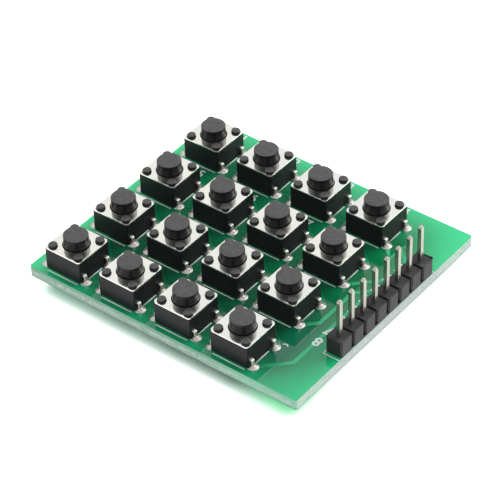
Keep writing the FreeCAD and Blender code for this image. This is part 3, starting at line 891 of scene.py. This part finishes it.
for row in ROWS:
    for column in COLUMNS:
        number = row * len(COLUMNS) + column + 1
        shift = key_centre(row, column) - first_key
        base = copy_piece(first_base, f"switch_base_{number}", shift)
        plate = copy_piece(first_plate, f"switch_plate_{number}", shift)
        button = copy_piece(first_button, f"push_button_{number}", shift)
        kinds = (
            (base, "key_base", "bases"),
            (plate, "cover_plate", "plates"),
            (button, "button", "buttons"),
        )
        for piece, node, slot in kinds:
            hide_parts(f"{node}_{number}")
            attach(piece, f"key_{number}" if node == "button" else "keypad_board")
for pattern in (first_base, first_plate, first_button):
    bpy.data.objects.remove(pattern)

# Snap domes: hard spring steel, blanked and formed with four legs. They lie out of sight in the
# wells, so the solids stay and get their finish.
SPRING_TONES = (0.55, 0.55, 0.54), (0.68, 0.68, 0.66)
spring_steel = new_finish("spring_steel", 0.3, metallic=1.0)
join_shader(spring_steel, "Base Color", two_tones(spring_steel, 0.8, 4, SPRING_TONES))
add_relief(spring_steel, noise_on(spring_steel, 0.2, 3), 0.004)
for row in ROWS:
    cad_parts[f"snap_domes_row_{row + 1}"].data.materials[0] = spring_steel

# Header housing: a strip of eight dark grey blocks moulded in one, with cut corners and a groove
# between each two where it may be snapped off. Each block has a square hole for its pin.
HOUSING_TONES = (0.0175, 0.0158, 0.0187), (0.028, 0.0257, 0.03)
HOUSING_GLOSS = 0.44, 0.54
housing_plastic = new_finish("housing_plastic", 0.4, specular=0.34)
join_shader(housing_plastic, "Base Color", two_tones(housing_plastic, 0.8, 4, HOUSING_TONES))
join_shader(housing_plastic, "Roughness", clouds_on(housing_plastic, 0.4, 3, *HOUSING_GLOSS))
add_relief(housing_plastic, noise_on(housing_plastic, 0.15, 3), 0.005)

HOUSING_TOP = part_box("header_housing")[1].z
HALF_BLOCK, HALF_PITCH = 1.26 * MM, PIN_PITCH / 2
GROOVE = 0.19 * MM
BLOCK_CORNER, BLOCK_ROUNDING = 0.22, 0.05


def add_housing_block(pin, front_groove, back_groove):
    """A block round a pin, with cut corners, short of its full pitch by the grooves given."""
    centre = header_pin(pin)
    block = add_block(
        (PIN_X - HALF_BLOCK, centre.y - HALF_PITCH + front_groove, TOP),
        (PIN_X + HALF_BLOCK, centre.y + HALF_PITCH - back_groove, HOUSING_TOP),
    )
    round_upright_edges(block, BLOCK_CORNER, 1)
    soften_edges(block, BLOCK_ROUNDING)
    pin_hole = add_block(
        (PIN_X - HALF_PIN, centre.y - HALF_PIN, TOP - MM),
        (PIN_X + HALF_PIN, centre.y + HALF_PIN, HOUSING_TOP + MM),
    )
    combine(block, pin_hole, "DIFFERENCE")
    return block


def repeat_along(piece, name, times):
    """Copies of a piece, one at each pin's pitch, in the place of the piece itself."""
    copies = [copy_piece(piece, name, Vector((0, n * PIN_PITCH, 0))) for n in range(times)]
    bpy.data.objects.remove(piece)
    return copies


first_pin, last_pin = header_pin(PINS[0]), header_pin(PINS[-1])
blocks = [add_housing_block(PINS[0], 0, GROOVE), add_housing_block(PINS[-1], GROOVE, 0)]
blocks += repeat_along(add_housing_block(1, GROOVE, GROOVE), "block_copy", len(PINS) - 2)
HALF_WEB, WEB_DROP = 0.95 * MM, 0.3 * MM
web = add_block(
    (PIN_X - HALF_WEB, first_pin.y + HALF_PITCH - GROOVE, TOP + 0.02 * MM),
    (PIN_X + HALF_WEB, first_pin.y + HALF_PITCH + GROOVE, HOUSING_TOP - WEB_DROP),
)
webs = repeat_along(web, "web_copy", len(PINS) - 1)
low_strip = add_block(
    (PIN_X - 1.2 * MM, first_pin.y, TOP + 0.01 * MM), (PIN_X + 1.22 * MM, last_pin.y, TOP + 0.25 * MM)
)

# Where the strip was snapped off, its last block keeps a rough burr along the edge and a small
# bump of torn plastic at the corner. Both are part of the same moulding.
BURR_HEIGHT, BUMP_RADIUS = 0.08 * MM, 0.13 * MM
ROUGH_SIZE, ROUGH_HEIGHT = 0.25 * MM, 0.12 * MM
back_edge = last_pin.y + HALF_PITCH
burr = add_block(
    (PIN_X - 0.2 * MM, back_edge - 0.1 * MM, HOUSING_TOP - 0.04 * MM),
    (PIN_X + 1.2 * MM, back_edge + 0.02 * MM, HOUSING_TOP + BURR_HEIGHT),
)
edit(burr)
bpy.ops.mesh.select_all(action="SELECT")
bpy.ops.mesh.subdivide(number_cuts=6)
end_edit()
bump_place = PIN_X + 0.9 * MM, back_edge - 0.05 * MM, HOUSING_TOP + BURR_HEIGHT
select_only()
bpy.ops.mesh.primitive_ico_sphere_add(subdivisions=3, radius=BUMP_RADIUS, location=bump_place)
bump = bpy.context.object
bpy.ops.object.transform_apply(location=True, rotation=False, scale=False)
rough_edges = bpy.data.textures.new("snapped_edge", "CLOUDS")
rough_edges.noise_scale = ROUGH_SIZE
roughening = {"texture": rough_edges, "texture_coords": "GLOBAL", "strength": ROUGH_HEIGHT}
for scrap in (burr, bump):
    add_modifier(scrap, "DISPLACE", mid_level=0.6, **roughening)
housing = join_pieces([*blocks, *webs, low_strip, burr, bump], "pin_housing")
shade_smooth()
own_finish(housing, "pin_housing", housing_plastic)
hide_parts("header_housing")
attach(housing, "keypad_board")

# Header pins: square brass wire, tin plated, cut with blunt points and pressed through the housing.
# Each stands up from its block and goes through the board to its solder joint.
PIN_TONES, PIN_GLOSS = ((0.36, 0.35, 0.30), (0.45, 0.44, 0.385)), (0.22, 0.3)
tinned_pin = new_finish("tinned_pin", 0.25, metallic=1.0)
join_shader(tinned_pin, "Base Color", two_tones(tinned_pin, 0.8, 4, PIN_TONES, (1, 1, 0.25)))
pin_roughness = clouds_on(tinned_pin, 0.3, 3, *PIN_GLOSS, (1, 1, 0.2))
join_shader(tinned_pin, "Roughness", pin_roughness)
add_relief(tinned_pin, noise_on(tinned_pin, 0.6, 2, (1, 1, 0.2)), 0.002)

POINT_HEIGHT, POINT_NARROWING, PIN_ROUNDING = 0.35 * MM, 0.5, 0.05
select_only()
bpy.ops.mesh.primitive_plane_add(size=2 * HALF_PIN, location=(PIN_X, first_pin.y, header_low.z))
pin = bpy.context.object
bpy.ops.object.transform_apply(location=True, rotation=False, scale=False)
edit(pin)
bpy.ops.mesh.select_all(action="SELECT")
resize_flat(POINT_NARROWING, (PIN_X, first_pin.y, header_low.z))
extrude_by(0, 0, POINT_HEIGHT)
resize_flat(1 / POINT_NARROWING, (PIN_X, first_pin.y, header_low.z + POINT_HEIGHT))
extrude_by(0, 0, header_high.z - header_low.z - 2 * POINT_HEIGHT)
extrude_by(0, 0, POINT_HEIGHT)
resize_flat(POINT_NARROWING, (PIN_X, first_pin.y, header_high.z))
bpy.ops.mesh.select_all(action="SELECT")
bpy.ops.mesh.normals_make_consistent(inside=False)
end_edit()
soften_edges(pin, PIN_ROUNDING, segments=3, angle=20)
pins = join_pieces(repeat_along(pin, "pin_copy", len(PINS)), "plated_pins")
own_finish(pins, "plated_pins", tinned_pin)
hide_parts("header_pins")
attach(pins, "keypad_board")

# The stage: a white table, one large soft lamp behind the right corner, a weaker one on the left,
# and pale even light all round. The table is painted with the object's soft shadow and with the
# green light that the board throws by its front corner.
select_only()
bpy.ops.mesh.primitive_plane_add(size=3)
table_top = bpy.context.object
table_top.name = "table_top"
white = new_finish("table_white", 0.6)


def seen_directly(finish):
    """1 for a ray from the camera, a mirror or clear stuff, and 0 for scattered light."""
    path = add_node(finish, "LightPath").outputs
    shiny = count(finish, "MAXIMUM", path["Is Glossy Ray"], path["Is Transmission Ray"])
    return count(finish, "MAXIMUM", path["Is Camera Ray"], shiny)


def distance_from(finish, point, low, high):
    """How far a point lies outside a rectangle given in millimetres, or 0 inside it."""
    squares = 0
    for axis, place in enumerate(point):
        middle = (low[axis] + high[axis]) / 2 * MM
        half = (high[axis] - low[axis]) / 2 * MM
        from_middle = count(finish, "ABSOLUTE", count(finish, "SUBTRACT", place, middle))
        beyond = count(finish, "MAXIMUM", count(finish, "SUBTRACT", from_middle, half), 0)
        squares = count(finish, "ADD", squares, count(finish, "POWER", beyond, 2))
    return count(finish, "SQRT", squares)


SHADOW_LOW, SHADOW_HIGH, SHADOW_FADE = (-18.4, -17.9), (19.05, 18), 2.35 * MM
SHADOW_TINT, CORNER_TINT, HEADER_TINT = (0.49, 0.87, 0.70), (0.18, 1, 0.43), (0.82, 0.88, 0.86)
RIGHT_GLOW, TABLE_GLOW, LEFT_GLOWS = 0.45, 0.95, (0.07, 0.24)
SHADOW_SHIFT, SHIFT_ACROSS, SHIFT_ALONG = 0.15 * MM, (0, 12 * MM), (-8 * MM, -17 * MM)
RIGHT_PART, LEFT_PART = (11 * MM, 17.5 * MM), (5 * MM, -18 * MM)
CORNER_PART, HEADER_PART = (-6 * MM, -14 * MM), (-15 * MM, -10 * MM)


def table_pattern(finish):
    """Joins the table's brightness, with the shadow's soft rim, to its shader's emission."""
    axes = axes_on(finish)
    right_half = remap(finish, axes[0], *SHIFT_ACROSS)
    to_front = remap(finish, axes[1], *SHIFT_ALONG, 0, SHADOW_SHIFT)
    shadow_x = count(finish, "SUBTRACT", axes[0], count(finish, "MULTIPLY", right_half, to_front))
    distance = distance_from(finish, (shadow_x, axes[1]), SHADOW_LOW, SHADOW_HIGH)
    bare_table = count(finish, "POWER", remap(finish, distance, 0, SHADOW_FADE), 2)
    to_right = remap(finish, axes[0], *RIGHT_PART)
    to_left = remap(finish, axes[0], *LEFT_PART, *LEFT_GLOWS)
    by_front = remap(finish, axes[1], *CORNER_PART)
    behind_corner = remap(finish, axes[1], *HEADER_PART)
    by_corner = count(finish, "MULTIPLY", to_right, by_front)
    by_header = count(finish, "MULTIPLY", to_right, behind_corner)
    tint = blend_colours(finish, by_corner, SHADOW_TINT, CORNER_TINT)
    tint = blend_colours(finish, by_header, tint, HEADER_TINT)
    join_shader(finish, "Emission Color", blend_colours(finish, bare_table, tint, (1, 1, 1)))
    shadow_glow = count(finish, "ADD", to_left, count(finish, "MULTIPLY", to_right, RIGHT_GLOW))
    glow_range = count(finish, "SUBTRACT", TABLE_GLOW, shadow_glow)
    glow = count(finish, "ADD", shadow_glow, count(finish, "MULTIPLY", glow_range, bare_table))
    seen_glow = count(finish, "MULTIPLY", seen_directly(finish), glow)
    join_shader(finish, "Emission Strength", seen_glow)


white.node_tree.nodes["Principled BSDF"].inputs["Base Color"].default_value = 0.8, 0.8, 0.8, 1
table_pattern(white)
table_top.data.materials.append(white)

SCATTERED_LIGHT, SEEN_LIGHT = 0.5, 1.0
world = bpy.data.worlds.new("studio")
bpy.context.scene.world = world
world.use_nodes = True
surround = world.node_tree.nodes["Background"]
strength = remap(world, seen_directly(world), 0, 1, SCATTERED_LIGHT, SEEN_LIGHT)
join_nodes(world, strength, surround.inputs["Strength"])
surround.inputs["Color"].default_value = 1, 1, 1, 1

LAMP_TARGET = Vector((0, 0, 0.005))


def add_lamp(name, place, size, power):
    """A square soft lamp that points at the keys."""
    lamp = bpy.data.objects.new(name, bpy.data.lights.new(name, "AREA"))
    bpy.context.collection.objects.link(lamp)
    lamp.data.size = size
    lamp.data.energy = power
    lamp.location = place
    lamp.rotation_mode = "QUATERNION"
    lamp.rotation_quaternion = (LAMP_TARGET - Vector(place)).to_track_quat("-Z", "Y")


add_lamp("back_lamp", (0.12, 0.32, 0.30), 0.30, 1.1)
add_lamp("left_lamp", (-0.31, -0.14, 0.26), 0.25, 0.3)

# The camera stands where the photograph was taken from. Its place, its turn and its lens were
# fitted to the board's edges, the keys and the header.
CAMERA_ANGLES = 38.565, 40.093, -1.703
CAMERA_DISTANCE, CAMERA_LENS = 314.54, 171.79
CAMERA_TARGET = Vector((-0.293 * MM, -0.041 * MM, TOP))
azimuth, elevation, roll = (math.radians(angle) for angle in CAMERA_ANGLES)
back_x = math.sin(azimuth) * math.cos(elevation)
back_y = -math.cos(azimuth) * math.cos(elevation)
back = Vector((back_x, back_y, math.sin(elevation)))
level_right = Vector((math.cos(azimuth), math.sin(azimuth), 0))
level_up = back.cross(level_right)
right = level_right * math.cos(roll) + level_up * math.sin(roll)
up = back.cross(right)
camera = bpy.data.objects.new("camera", bpy.data.cameras.new("camera"))
bpy.context.collection.objects.link(camera)
camera.data.lens = CAMERA_LENS
camera.data.sensor_width = 36
camera.data.clip_start = 0.01
turn = Matrix((right, up, back)).transposed().to_4x4()
camera.matrix_world = Matrix.Translation(CAMERA_TARGET + back * CAMERA_DISTANCE * MM) @ turn
bpy.context.scene.camera = camera
bpy.context.scene.view_settings.view_transform = "Standard"
